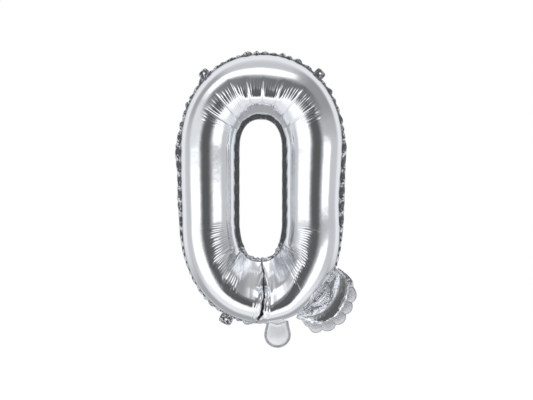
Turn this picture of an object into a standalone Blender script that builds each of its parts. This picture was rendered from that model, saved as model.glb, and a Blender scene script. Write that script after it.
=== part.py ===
"""Silver foil balloon shaped as the capital letter Q, inflated, seen upright.

Two metallised films are welded together along flat seams. The ring of the letter is a C shaped
tube whose ends meet at a divider weld under the hole, the tail is a small lobe of its own at the
lower right, and the filling neck is a flat tab at the bottom. The welded edges stand out all
round as scalloped margins, which carry three hanging tabs.

The origin is on the letter's centre line, level with the holes of the two upper hanging tabs. X
runs to the viewer's right, Z up, and the viewer stands on the -Y side. The seams lie in the plane
Y = 0.
"""

import math

import bmesh
import bpy
import numpy as np

MM = 0.001

# Film and welds, in millimetres like every size below
WALL = 1.2  # stand-in for the film, which is about 0.05 thick
WELD_THICKNESS = 1.0  # stand-in for two films welded together
CLEARANCE = 0.3
RIM_LEVEL = WELD_THICKNESS / 2 + CLEARANCE  # where each film's rim stops short of the seam plane
UNDER_RIM = 1.6  # how far a margin reaches in between the two rims

# Ring: a straight leg each side between two round caps
HIGH_CENTRE = -91.9
LOW_CENTRE = -175.9
OUTER_HALF_WIDTH = 97.5
OUTER_RISE = 114.6
OUTER_DROP = 122.4
OUTER_ROUNDNESS = 2.12
INNER_HALF_WIDTH = 30.9
INNER_RISE = 42.0
INNER_DROP = 50.4
INNER_ROUNDNESS = 2.3
INNER_SHIFT = -1.5
DEPTH_RATIO = 0.94  # depth of the inflated tube against its width
RING_ROWS = 9

# Divider weld under the hole
DIVIDER_OUTER_X = -1.2
DIVIDER_INNER_X = -1.2
DIVIDER_HALF_GAP = 2.0
END_ROUNDING = 16.0  # length over which a tube end swells to its full depth
END_STATIONS = (0.0, 0.7, 2.2, 5.0, 9.0, 15.0)  # distance of a section from the tube's end
INNER_SPREAD = 0.75  # the same distance at the hole, as a share

# Creases that radiate from the hole, as turns from straight down, clockwise to the viewer
TOP_CREASES = (120, 135, 151, 166, 181.5, 200, 220, 238)
LOW_CREASES = (39, 56, 309, 324)
CREASE_DEPTH = 1.5
CREASE_HALF_ANGLE = 2.2
STATION_ANGLE = 8.0
LEG_STATIONS = 3

# Margins outside the ring and round the hole
MARGIN_WIDTH = 3.1
MARGIN_SCALLOP = 1.5
MARGIN_SWELLS = ((97.0, 40.0, 2.6), (180.0, 60.0, -0.8), (52.0, 50.0, -0.9))  # turn, span, extra
SCALLOP_PITCH = 11.5
STATIONS_PER_SCALLOP = 4
MARGIN_WAVE = 0.9
HOLE_MARGIN = 5.4
HOLE_MARGIN_AT_DIVIDER = 3.6
HOLE_MARGIN_STATIONS = 84
HOLE_MARGIN_WAVE = 0.5

# Tail lobe: a round lobe centred on the ring's outer seam, drawn out at its upper tip
TAIL_CENTRE = (67.2, -268.3)
TAIL_RADIUS = 32.0
TAIL_TIP_EXTRA = 8.8
TAIL_HEEL_EXTRA = 2.7
TAIL_TIP_ANGLE = 57.0
TAIL_HEEL_ANGLE = -137.0
TAIL_DEPTH = 11.5
TAIL_CREST_SKEW = 0.72
TAIL_OFFSET = 0.6
TAIL_STATIONS = 17
TAIL_ROWS = 7
TAIL_END = 0.07  # share of the lobe's length left to the margins at each tip
TAIL_TIP_TURN = 298.0
MARGIN_END_TURN = 295.6  # where the ring's margin makes room for the tail's
TAIL_HEEL_TURN = 335.5
PETAL_ANGLE = 25.2
PETAL_PHASE = 18.3
PETAL_BASE = 5.6
PETAL_HEIGHT = 5.6
PETAL_TIP_FADE = 60.0
PETAL_HEEL_FADE = 35.0
HEEL_MARGIN = 1.6
STATIONS_PER_PETAL = 6

# Filling neck
NECK_X = 18.6
NECK_ROOT_HALF_WIDTH = 13.2
NECK_HALF_WIDTH = 16.0
NECK_WIDEST = -314.1
NECK_BOTTOM = -329.5
NECK_MARGIN = 3.0
NECK_DEPTH = 3.4
NECK_ROOT_GAP = 0.6
NECK_SIDE_GAP = 0.8
NECK_STATIONS = 11
NECK_ROWS = 5
NECK_END_SHARE = 0.93  # how far down the rounded end the puffed part reaches

# Hanging tabs: name, turn round the ring, height above the margin, half width
TABS = (
    ("hang_tab_upper_left", 138.9, 6.4, 4.8),
    ("hang_tab_upper_right", 221.1, 6.4, 4.8),
    ("hang_tab_lower_left", 23.0, 9.6, 6.4),
)
TAB_MARGIN = 2.4
TAB_HOLE_RADIUS = 1.5
TAB_SIDES = 20
TAB_SQUARENESS = 3.4

FILM_COLOUR = (0.80, 0.81, 0.84)
WELD_COLOUR = (0.58, 0.59, 0.63)


def clear_scene():
    """Remove whatever objects the scene holds."""
    for item in list(bpy.data.objects):
        bpy.data.objects.remove(item, do_unlink=True)


def foil(name, colour, roughness):
    """Metallised film, a mirror dulled a little by its polymer coat."""
    material = bpy.data.materials.new(name)
    material.use_nodes = True
    shader = material.node_tree.nodes["Principled BSDF"]
    shader.inputs["Base Color"].default_value = (*colour, 1.0)
    shader.inputs["Metallic"].default_value = 1.0
    shader.inputs["Roughness"].default_value = roughness
    return material


def walled(name, skin, lining, material, looped=False):
    """One closed solid between two equal grids of points, joined along their edges."""
    mesh = bmesh.new()
    grids = []
    for grid in (skin, lining):
        rows = []
        for line in grid:
            rows.append([mesh.verts.new([value * MM for value in point]) for point in line])
        grids.append(rows)
    outside, inside = grids
    count = len(outside)
    last = len(outside[0]) - 1
    steps = count if looped else count - 1
    for i in range(steps):
        k = (i + 1) % count
        for j in range(last):
            mesh.faces.new((outside[i][j], outside[k][j], outside[k][j + 1], outside[i][j + 1]))
            mesh.faces.new((inside[i][j + 1], inside[k][j + 1], inside[k][j], inside[i][j]))
        for j in (0, last):
            mesh.faces.new((outside[i][j], outside[k][j], inside[k][j], inside[i][j]))
    if not looped:
        for i in (0, count - 1):
            for j in range(last):
                mesh.faces.new((outside[i][j], outside[i][j + 1], inside[i][j + 1], inside[i][j]))
    bmesh.ops.recalc_face_normals(mesh, faces=mesh.faces)
    if mesh.calc_volume(signed=True) < 0:
        bmesh.ops.reverse_faces(mesh, faces=mesh.faces)
    data = bpy.data.meshes.new(name)
    mesh.to_mesh(data)
    mesh.free()
    data.shade_smooth()
    data.set_sharp_from_angle(angle=math.radians(35))
    data.materials.append(material)
    solid = bpy.data.objects.new(name, data)
    bpy.context.scene.collection.objects.link(solid)
    return solid


def flat_strip(name, near, far, lifts, material, looped=False):
    """A welded strip between two lines in the seam plane; lifts bends its far edge out of it."""
    middle = (near + far) / 2
    front = []
    back = []
    for low, mid, high, lift in zip(near, middle, far, lifts):
        profile = ((low, 0.0), (mid, lift * 0.5), (high, lift))
        front.append([(p[0], y - WELD_THICKNESS / 2, p[1]) for p, y in profile])
        back.append([(p[0], y + WELD_THICKNESS / 2, p[1]) for p, y in profile])
    return walled(name, front, back, material, looped)


def seam_point(turn, outer=True, centre=None):
    """A point (x, z) of the outer or the inner seam. Turn 0 is straight down, 90 the left leg."""
    angle = math.radians(turn)
    across = math.sin(angle)
    along = math.cos(angle)
    low = along > 0
    if centre is None:
        centre = LOW_CENTRE if low else HIGH_CENTRE
    if outer:
        width = OUTER_HALF_WIDTH
        power = 2 / OUTER_ROUNDNESS
        shift = 0.0
        rise = OUTER_DROP if low else OUTER_RISE
    else:
        width = INNER_HALF_WIDTH
        power = 2 / INNER_ROUNDNESS
        shift = INNER_SHIFT
        rise = INNER_DROP if low else INNER_RISE
    x = shift - width * math.copysign(abs(across) ** power, across)
    z = centre - rise * math.copysign(abs(along) ** power, along)
    return np.array((x, z))


def turn_at(x, outer=True):
    """The turn in the lower cap at which a seam passes x."""
    if outer:
        share = x / OUTER_HALF_WIDTH
        power = OUTER_ROUNDNESS / 2
    else:
        share = (x - INNER_SHIFT) / INNER_HALF_WIDTH
        power = INNER_ROUNDNESS / 2
    return -math.degrees(math.asin(math.copysign(abs(share) ** power, share)))


def seam_line(turn_from, turn_to, outer=True, steps=720):
    """A dense run of points along a seam, with its legs, its lengths and its outward normals."""
    turns = sorted({*np.linspace(turn_from, turn_to, steps), 90.0, 90.001, 269.999, 270.0})
    inside = [turn for turn in turns if turn_from <= turn <= turn_to]
    points = np.array([seam_point(turn, outer) for turn in inside])
    return with_normals(points)


def with_normals(points):
    """Points with the length run so far and the normal on the left of the run."""
    steps = np.linalg.norm(np.diff(points, axis=0), axis=1)
    lengths = np.concatenate(([0.0], np.cumsum(steps)))
    ways = np.gradient(points, axis=0)
    ways /= np.linalg.norm(ways, axis=1)[:, None]
    normals = np.stack((-ways[:, 1], ways[:, 0]), axis=1)
    return points, lengths, normals


def sampled(line, distances):
    """Points and normals of a line at given distances along it."""
    points, lengths, normals = line
    at = np.stack([np.interp(distances, lengths, points[:, k]) for k in (0, 1)], axis=1)
    out = np.stack([np.interp(distances, lengths, normals[:, k]) for k in (0, 1)], axis=1)
    return at, out / np.linalg.norm(out, axis=1)[:, None]


def smooth(share):
    """An ease from 0 to 1."""
    share = np.clip(share, 0.0, 1.0)
    return share * share * (3 - 2 * share)


def end_swell(distance, length):
    """How far a tube end has swollen at a distance from its end, from 0 to 1."""
    share = min(1.0, max(0.0, distance / length))
    return math.sqrt(1 - (1 - share) ** 2)


def arch(outer_end, inner_end, depth, rows, crease, side):
    """The points of one inflated half section, from the outer seam to the inner one."""
    middle = (outer_end + inner_end) / 2
    reach = (outer_end - inner_end) / 2
    points = []
    for row in range(rows + 1):
        angle = math.pi * row / rows
        pinch = crease * smooth((row / rows - 0.42) / 0.2) * smooth((0.97 - row / rows) / 0.1)
        hold = 1 - pinch / np.linalg.norm(reach)
        x, z = middle + reach * math.cos(angle) * hold
        points.append((x, side * (RIM_LEVEL + depth * math.sin(angle) * hold), z))
    return points


def ring_turns():
    """The turns of the ring's sections between the leg ends, with three at each crease."""
    creases = TOP_CREASES + LOW_CREASES
    turns = {(float(turn), 1.0) for turn in creases}
    for turn in creases:
        turns.add((turn - CREASE_HALF_ANGLE, 0.0))
        turns.add((turn + CREASE_HALF_ANGLE, 0.0))
    first = turn_at(DIVIDER_OUTER_X - DIVIDER_HALF_GAP - END_STATIONS[-1])
    last = 360 + turn_at(DIVIDER_OUTER_X + DIVIDER_HALF_GAP + END_STATIONS[-1])
    clear = CREASE_HALF_ANGLE * 2
    for turn in np.arange(first + STATION_ANGLE, last - STATION_ANGLE / 2, STATION_ANGLE):
        near_leg = min(abs(turn - 90), abs(turn - 270)) < STATION_ANGLE / 2
        if not near_leg and all(abs(turn - crease) > clear for crease in creases):
            turns.add((turn, 0.0))
    return sorted(turns)


def ring_stations():
    """Every section of the ring: outer end, inner end, distance from the tube's end, crease."""
    stations = []
    for distance in END_STATIONS:
        stations.append(end_station(distance, -1))
    low_skew = inner_lead(-1)
    high_skew = inner_lead(1)
    legs_done = set()
    for turn, crease in ring_turns():
        for leg, edge in ((90, turn > 90), (270, turn > 270)):
            if edge and leg not in legs_done:
                legs_done.add(leg)
                heights = np.linspace(LOW_CENTRE, HIGH_CENTRE, LEG_STATIONS + 2)
                for height in heights if leg == 90 else heights[::-1]:
                    ends = (seam_point(leg, True, height), seam_point(leg, False, height))
                    stations.append((*ends, END_ROUNDING, 0.0))
        if turn < 90:
            inner_turn = turn + low_skew * (90 - turn)
        elif turn > 270:
            inner_turn = turn - high_skew * (turn - 270)
        else:
            inner_turn = turn
        ends = (seam_point(turn), seam_point(inner_turn, False))
        stations.append((*ends, END_ROUNDING, crease))
    for distance in reversed(END_STATIONS):
        stations.append(end_station(distance, 1))
    return stations


def end_station(distance, hand):
    """A section beside the divider weld, parallel to it; hand is -1 left of it and 1 right."""
    outer_x = DIVIDER_OUTER_X + hand * (DIVIDER_HALF_GAP + distance)
    inner_x = DIVIDER_INNER_X + hand * (DIVIDER_HALF_GAP + distance * INNER_SPREAD)
    ends = (seam_point(turn_at(outer_x)), seam_point(turn_at(inner_x, False), False))
    return (*ends, distance, 0.0)


def inner_lead(hand):
    """How far the section's inner end leads its outer one, where the radial sections begin."""
    outer_turn = turn_at(DIVIDER_OUTER_X + hand * (DIVIDER_HALF_GAP + END_STATIONS[-1]))
    inner_x = DIVIDER_INNER_X + hand * (DIVIDER_HALF_GAP + END_STATIONS[-1] * INNER_SPREAD)
    inner_turn = turn_at(inner_x, False)
    return (abs(inner_turn) - abs(outer_turn)) / (90 - abs(outer_turn))


def ring_film(name, side, material):
    """Front or back film of the ring, a C shaped half tube that swells from weld to weld."""
    skin = []
    lining = []
    stations = ring_stations()
    for outer_end, inner_end, distance, crease in stations:
        half_width = np.linalg.norm(outer_end - inner_end) / 2
        toward = (inner_end - outer_end) / (2 * half_width)
        depth = half_width * DEPTH_RATIO * end_swell(distance, END_ROUNDING)
        skin.append(arch(outer_end, inner_end, depth, RING_ROWS, crease * CREASE_DEPTH, side))
        fading = 1 - end_swell(distance, END_ROUNDING)
        along = np.array((-toward[1], toward[0])) * WALL * min(1.0, fading * 1.3)
        if len(skin) > len(stations) / 2:
            along = -along
        outer_in = outer_end + toward * WALL + along
        inner_in = inner_end - toward * WALL + along
        inner_depth = (half_width * DEPTH_RATIO - WALL) * end_swell(distance, END_ROUNDING)
        lining.append(arch(outer_in, inner_in, inner_depth, RING_ROWS, crease * CREASE_DEPTH, side))
    return walled(name, skin, lining, material)


def distance_at(line, turn):
    """Distance along an outer seam line at which a turn comes."""
    points, lengths, _ = line
    place = seam_point(turn)
    return lengths[np.argmin(np.linalg.norm(points - place, axis=1))]


def margin_widths(line, distances):
    """Width of the ring's outer margin: scalloped, wider here than there, calm under the tabs."""
    scallops = np.abs(np.sin(math.pi * distances / SCALLOP_PITCH))
    widths = MARGIN_WIDTH + MARGIN_SCALLOP * (scallops - 0.5)
    for turn, span, extra in MARGIN_SWELLS:
        away = distances - distance_at(line, turn)
        widths = widths + extra * np.exp(-((away / span) ** 2))
    for _, turn, _, half_width in TABS:
        away = np.abs(distances - distance_at(line, turn)) - half_width
        widths = TAB_MARGIN + (widths - TAB_MARGIN) * smooth(away / (SCALLOP_PITCH / 2))
    return widths


def outer_margin(material):
    """Welded edge outside the ring, from the neck round to the tip of the tail."""
    start = turn_at(NECK_X - NECK_ROOT_HALF_WIDTH - NECK_SIDE_GAP)
    line = seam_line(start, MARGIN_END_TURN)
    count = round(line[1][-1] / SCALLOP_PITCH) * STATIONS_PER_SCALLOP
    distances = np.linspace(0, line[1][-1], count + 1)
    for _, turn, _, half_width in TABS:
        place = distance_at(line, turn)
        distances = np.append(distances, (place - half_width, place + half_width))
    distances = np.sort(distances)
    at, out = sampled(line, distances)
    near = at - out * UNDER_RIM
    widths = margin_widths(line, distances)
    waves = MARGIN_WAVE * np.sin(2 * math.pi * distances / (SCALLOP_PITCH * 1.5))
    calm = np.clip((widths - TAB_MARGIN) / MARGIN_SCALLOP, 0, 1)
    return flat_strip("outer_margin", near, at + out * widths[:, None], waves * calm, material)


def inner_margin(material):
    """Welded edge round the hole."""
    line = seam_line(0.0, 360.0, outer=False)
    distances = np.linspace(0, line[1][-1], HOLE_MARGIN_STATIONS, endpoint=False)
    at, out = sampled(line, distances)
    low = smooth((LOW_CENTRE - 20 - at[:, 1]) / 25)
    widths = HOLE_MARGIN + (HOLE_MARGIN_AT_DIVIDER - HOLE_MARGIN) * low
    far = at - out * widths[:, None]
    waves = HOLE_MARGIN_WAVE * np.sin(2 * math.pi * distances * 14 / line[1][-1])
    return flat_strip("inner_margin", at + out * UNDER_RIM, far, waves, material, looped=True)


def divider_weld(material):
    """Flat weld across the tube under the hole, between the two margins."""
    heights = []
    for x, outer in ((DIVIDER_INNER_X, False), (DIVIDER_OUTER_X, True)):
        heights.append(seam_point(turn_at(x, outer), outer)[1])
    reach = UNDER_RIM + CLEARANCE
    top = (DIVIDER_INNER_X, heights[0] - reach)
    foot = (DIVIDER_OUTER_X, heights[1] + reach)
    middle = np.linspace(top, foot, 8)
    half = np.array((DIVIDER_HALF_GAP + UNDER_RIM, 0.0))
    return flat_strip("divider_weld", middle - half, middle + half, np.zeros(8), material)


def tail_seam(angles):
    """Points of the tail's outer seam at angles round the lobe's centre, counted from +X."""
    tip = TAIL_TIP_EXTRA * smooth((angles + 30) / 75)
    heel = TAIL_HEEL_EXTRA * smooth((-123 - angles) / 15)
    radius = TAIL_RADIUS + tip + heel
    turned = np.radians(angles)
    x = TAIL_CENTRE[0] + radius * np.cos(turned)
    z = TAIL_CENTRE[1] + radius * np.sin(turned)
    return np.stack((x, z), axis=1)


def tail_arch(root, edge, depth, side):
    """A half section of the tail, with its crest nearer the outer seam than the ring."""
    points = []
    for row in range(TAIL_ROWS + 1):
        angle = math.pi * row / TAIL_ROWS
        share = ((1 - math.cos(angle)) / 2) ** TAIL_CREST_SKEW
        x, z = root + (edge - root) * share
        points.append((x, side * (RIM_LEVEL + depth * math.sin(angle)), z))
    return points


def tail_film(name, side, material):
    """Front or back film of the tail lobe, a half pillow between the ring and its own seam."""
    line = seam_line(TAIL_TIP_TURN, TAIL_HEEL_TURN)
    grids = []
    for inset in (0.0, WALL):
        end = TAIL_END + inset / 90
        shares = end + (1 - 2 * end) * (1 - np.cos(np.linspace(0, math.pi, TAIL_STATIONS))) / 2
        roots, out = sampled(line, shares * line[1][-1])
        roots = roots + out * TAIL_OFFSET
        edges = tail_seam(TAIL_TIP_ANGLE + (TAIL_HEEL_ANGLE - TAIL_TIP_ANGLE) * shares)
        across = edges - roots
        across /= np.linalg.norm(across, axis=1)[:, None]
        swell = np.sqrt(np.sin(np.linspace(0, math.pi, TAIL_STATIONS)).clip(0))
        depths = (TAIL_DEPTH - inset) * swell
        grid = []
        for root, edge, way, depth in zip(roots, edges, across, depths):
            grid.append(tail_arch(root + way * inset, edge - way * inset, depth, side))
        grids.append(grid)
    return walled(name, *grids, material)


def petal_widths(angles):
    """Width of the tail's margin: rounded petals, low at the tip, nearly none at the heel."""
    petals = np.abs(np.sin(math.pi * (angles - PETAL_PHASE) / PETAL_ANGLE))
    tip = smooth((TAIL_TIP_ANGLE - angles) / PETAL_TIP_FADE)
    heel = smooth((angles + 130) / PETAL_HEEL_FADE)
    return HEEL_MARGIN + (PETAL_BASE + PETAL_HEIGHT * petals ** 0.7 - HEEL_MARGIN) * tip * heel


def tail_margin(material):
    """Welded edge of the tail, puckered into rounded petals, from the neck to the tip."""
    span = TAIL_TIP_ANGLE - 1.5 - TAIL_HEEL_ANGLE
    count = round(span / PETAL_ANGLE) * STATIONS_PER_PETAL
    angles = TAIL_HEEL_ANGLE + span * np.linspace(0, 1, count + 1)
    beside_neck = seam_point(turn_at(NECK_X + NECK_ROOT_HALF_WIDTH + NECK_SIDE_GAP) + 360)
    at, _, left = with_normals(np.vstack((beside_neck, tail_seam(angles))))
    out = -left
    widths = petal_widths(np.concatenate(([TAIL_HEEL_ANGLE], angles)))
    waves = MARGIN_WAVE * np.sin(2 * math.pi * (widths - HEEL_MARGIN) / PETAL_HEIGHT)
    far = at + out * widths[:, None]
    return flat_strip("tail_margin", at - out * UNDER_RIM, far, waves, material)


def tail_weld(material):
    """Weld between the ring and the tail, along the ring's outer seam."""
    line = seam_line(MARGIN_END_TURN, TAIL_HEEL_TURN)
    distances = np.linspace(CLEARANCE, line[1][-1] - CLEARANCE, 14)
    at, out = sampled(line, distances)
    far = at + out * (TAIL_OFFSET + 0.9)
    return flat_strip("tail_weld", at - out * UNDER_RIM, far, np.zeros(14), material)


def neck_half_width(height):
    """Half the width of the neck tab, margin and all, at a height."""
    if height > NECK_WIDEST:
        root = seam_point(turn_at(NECK_X) + 360)[1]
        share = smooth((root - height) / (root - NECK_WIDEST))
        return NECK_ROOT_HALF_WIDTH + (NECK_HALF_WIDTH - NECK_ROOT_HALF_WIDTH) * share
    share = (height - NECK_WIDEST) / (NECK_BOTTOM - NECK_WIDEST)
    return NECK_HALF_WIDTH * math.sqrt(max(0.0, 1 - share * share))


def neck_film(name, side, material):
    """Front or back film of the neck tab, open at its root into the ring."""
    root = seam_point(turn_at(NECK_X) + 360)[1] - NECK_ROOT_GAP
    end = NECK_WIDEST + (NECK_BOTTOM + NECK_MARGIN - NECK_WIDEST) * NECK_END_SHARE
    grids = []
    for inset in (0.0, WALL):
        grid = []
        for share in np.linspace(0, 1, NECK_STATIONS):
            level = root + (end + inset - root) * share
            half_width = neck_half_width(level) - NECK_MARGIN - inset
            depth = (NECK_DEPTH - inset) * end_swell(1 - share, 0.3)
            line = []
            for row in range(NECK_ROWS + 1):
                angle = math.pi * row / NECK_ROWS
                x = NECK_X - half_width * math.cos(angle)
                follow = seam_point(turn_at(x) + 360)[1] - NECK_ROOT_GAP - root
                z = level + follow * (1 - smooth(share / 0.3))
                line.append((x, side * (RIM_LEVEL + depth * math.sin(angle)), z))
            grid.append(line)
        grids.append(grid)
    return walled(name, *grids, material)


def neck_margin(material):
    """Welded edge of the neck tab, down one side, round the end and up the other."""
    root = seam_point(turn_at(NECK_X) + 360)[1]
    flank = np.linspace(root, NECK_WIDEST, 6)[:-1]
    points = [(-neck_half_width(level), level) for level in flank]
    for angle in np.linspace(0, math.pi, 15):
        depth = NECK_WIDEST + (NECK_BOTTOM - NECK_WIDEST) * math.sin(angle)
        points.append((-NECK_HALF_WIDTH * math.cos(angle), depth))
    points += [(neck_half_width(level), level) for level in flank[::-1]]
    points = np.array(points) + (NECK_X, 0)
    _, _, inward = with_normals(points)
    for end, level in ((0, points[0]), (-1, points[-1])):
        lower = seam_point(turn_at(level[0]) + 360)[1] - NECK_ROOT_GAP
        points[end][1] = lower
        inward[end] = (1.0, 0.0) if end == 0 else (-1.0, 0.0)
    near = points + inward * (NECK_MARGIN + UNDER_RIM)
    for end in (0, -1):
        near[end][1] = seam_point(turn_at(near[end][0]) + 360)[1] - NECK_ROOT_GAP
    return flat_strip("neck_margin", near, points, np.zeros(len(points)), material)


def hang_tab(name, turn, height, half_width, material):
    """A flat tab with a punched hole, standing on the outer margin."""
    foot = seam_point(turn)
    step = seam_point(turn + 0.5) - seam_point(turn - 0.5)
    way = step / np.linalg.norm(step)
    out = np.array((-way[1], way[0]))
    sag = half_width * half_width / (2 * OUTER_HALF_WIDTH)
    centre = foot + out * (TAB_MARGIN + CLEARANCE + height / 2)
    near = []
    far = []
    for side in range(TAB_SIDES):
        angle = 2 * math.pi * side / TAB_SIDES
        across = math.cos(angle)
        up = math.sin(angle)
        near.append(centre + TAB_HOLE_RADIUS * (way * across + out * up))
        stretch = (abs(across) ** TAB_SQUARENESS + abs(up) ** TAB_SQUARENESS) ** (-1 / TAB_SQUARENESS)
        reach = height / 2 - sag if up < 0 else height / 2
        far.append(centre + stretch * (way * across * half_width + out * up * reach))
    lifts = np.zeros(TAB_SIDES)
    return flat_strip(name, np.array(near), np.array(far), lifts, material, looped=True)


clear_scene()
film = foil("silver_film", FILM_COLOUR, 0.12)
weld = foil("silver_weld", WELD_COLOUR, 0.22)
for face, side in (("front", -1), ("back", 1)):
    ring_film(f"ring_{face}_film", side, film)
    tail_film(f"tail_{face}_film", side, film)
    neck_film(f"neck_{face}_film", side, film)
outer_margin(weld)
inner_margin(weld)
divider_weld(weld)
tail_weld(weld)
tail_margin(weld)
neck_margin(weld)
for tab_name, tab_turn, tab_height, tab_half_width in TABS:
    hang_tab(tab_name, tab_turn, tab_height, tab_half_width, weld)
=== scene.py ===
"""Silver foil balloon in the shape of a capital letter Q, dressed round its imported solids.

Sizes in the sections below are millimetres, and MM turns them into metres. X runs to the viewer's
right, Z up, the seams lie in the plane Y = 0, and the viewer stands on the -Y side. A turn is an
angle round the ring: 0 straight down, 90 the left leg, 180 the top.
"""

import math

import bpy
import numpy as np
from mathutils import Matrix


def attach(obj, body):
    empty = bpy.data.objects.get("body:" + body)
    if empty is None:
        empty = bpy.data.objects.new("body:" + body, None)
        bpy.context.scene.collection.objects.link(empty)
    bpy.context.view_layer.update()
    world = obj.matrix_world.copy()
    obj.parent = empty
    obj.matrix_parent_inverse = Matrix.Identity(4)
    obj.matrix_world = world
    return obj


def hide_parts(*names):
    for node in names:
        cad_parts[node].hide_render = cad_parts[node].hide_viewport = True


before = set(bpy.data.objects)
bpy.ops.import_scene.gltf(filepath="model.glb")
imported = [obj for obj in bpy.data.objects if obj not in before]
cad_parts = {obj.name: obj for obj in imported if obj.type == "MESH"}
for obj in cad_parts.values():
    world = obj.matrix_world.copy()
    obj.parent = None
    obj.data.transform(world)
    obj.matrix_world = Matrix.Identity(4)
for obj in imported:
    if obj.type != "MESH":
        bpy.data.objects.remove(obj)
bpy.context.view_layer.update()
bpy.ops.object.select_all(action="DESELECT")

# Studio: the photograph is a level view from straight ahead on pure white. The film mirrors the
# room, so the room is a world of soft boxes round the camera's axis, seen by the film alone, and
# a white floor well below the balloon, which hangs.
MM = 0.001
VIEW_DISTANCE = 2000.0
VIEW_CENTRE = (5.4, -151.9)
VIEW_WIDTH = 639.6
SENSOR = 36.0
VIEW_REACH = 20000.0
ROOM_TINT = (0.975, 0.985, 1.0, 1)
WHITE = (1, 1, 1, 1)
FLOOR_LEVEL = -620.0
FLOOR_HALF_WIDTH = 2600.0
FLOOR_PAINT = (0.9, 0.9, 0.9, 1)


def new_node(tree, kind, **settings):
    """A shader node with its settings made."""
    node = tree.nodes.new(kind)
    for key, value in settings.items():
        setattr(node, key, value)
    return node


def fed(tree, socket, source):
    """Set a socket to a number or join it to another node's output."""
    if isinstance(source, (int, float)):
        socket.default_value = source
    else:
        tree.links.new(source, socket)


def sum_of(tree, operation, *sources):
    """The output of a Math node over numbers or other outputs."""
    node = new_node(tree, "ShaderNodeMath", operation=operation)
    for socket, source in zip(node.inputs, sources):
        fed(tree, socket, source)
    return node.outputs[0]


def eased(tree, value, start, end):
    """0 where a value is at start, 1 where it is at end, eased between."""
    node = new_node(tree, "ShaderNodeMapRange", interpolation_type="SMOOTHSTEP", clamp=True)
    fed(tree, node.inputs["Value"], value)
    node.inputs["From Min"].default_value = start
    node.inputs["From Max"].default_value = end
    return node.outputs["Result"]


def set_camera():
    """Level camera straight ahead of the letter."""
    lens = SENSOR * VIEW_DISTANCE / VIEW_WIDTH
    place = (VIEW_CENTRE[0] * MM, -VIEW_DISTANCE * MM, VIEW_CENTRE[1] * MM)
    bpy.ops.object.camera_add(location=place, rotation=(math.radians(90), 0, 0))
    camera = bpy.context.object
    camera.data.lens = lens
    camera.data.sensor_width = SENSOR
    camera.data.clip_end = VIEW_REACH * MM
    bpy.context.scene.camera = camera


# The room's light in rings round the camera's axis: angle off the axis, brightness
ROOM_RINGS = (
    (0, 0.30), (16, 0.34), (30, 0.62), (70, 0.66), (92, 0.66),
    (102, 0.74), (112, 0.96), (140, 0.90), (154, 0.42), (180, 0.30),
)

# Soft boxes and dark screens: bearing round the camera's axis (0 above, 90 right), half its span,
# from and to as angles off the axis, softness of the edges, brightness, and the elevation at
# which its upper edge fades
ROOM_PANELS = (
    ("left wall above", -84, 26, 24, 70, 6, 0.86, 90),
    ("left corner above", -54, 22, 74, 100, 7, 0.42, 90),
    ("right corner above", 52, 26, 22, 100, 8, 0.36, 90),
    ("camera bay above", 0, 62, -10, 44, 9, 0.19, 90),
    ("camera bay left", -32, 26, -10, 44, 9, 0.25, 90),
    ("box left", -100, 60, 23, 66, 6, 1.45, 1.2),
    ("box right", 100, 60, 26, 58, 6, 1.45, 0.6),
    ("camera bay below", 180, 60, -10, 27, 4, 0.11, 3),
    ("camera stand", -90, 200, -10, 15, 6, 0.12, 90),
    ("box above", -16, 37, 52, 74, 4, 1.40, 90),
    ("floor near", 180, 62, 28, 52, 4, 1.30, 90),
    ("floor ahead", 180, 62, 52, 84, 7, 0.95, 90),
    ("floor under", 180, 70, 90, 140, 8, 0.45, 90),
)
CEILING_FADE = 1.4


def with_panel(tree, light, bearing, from_axis, elevation, panel):
    """The room's light with one soft box or dark screen laid over it."""
    _, middle, half, near, far, edge, strength, ceiling = panel
    turned = sum_of(tree, "WRAP", sum_of(tree, "SUBTRACT", bearing, float(middle)), 180.0, -180.0)
    inside = eased(tree, sum_of(tree, "ABSOLUTE", turned), half + 2 * edge, half - 2 * edge)
    inside = sum_of(tree, "MULTIPLY", inside, eased(tree, from_axis, near - edge, near + edge))
    inside = sum_of(tree, "MULTIPLY", inside, eased(tree, from_axis, far + edge, far - edge))
    lower = eased(tree, elevation, ceiling + CEILING_FADE, ceiling - CEILING_FADE)
    blend = new_node(tree, "ShaderNodeMix", data_type="FLOAT")
    tree.links.new(sum_of(tree, "MULTIPLY", inside, lower), blend.inputs[0])
    tree.links.new(light, blend.inputs[2])
    blend.inputs[3].default_value = strength
    return blend.outputs[0]


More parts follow.
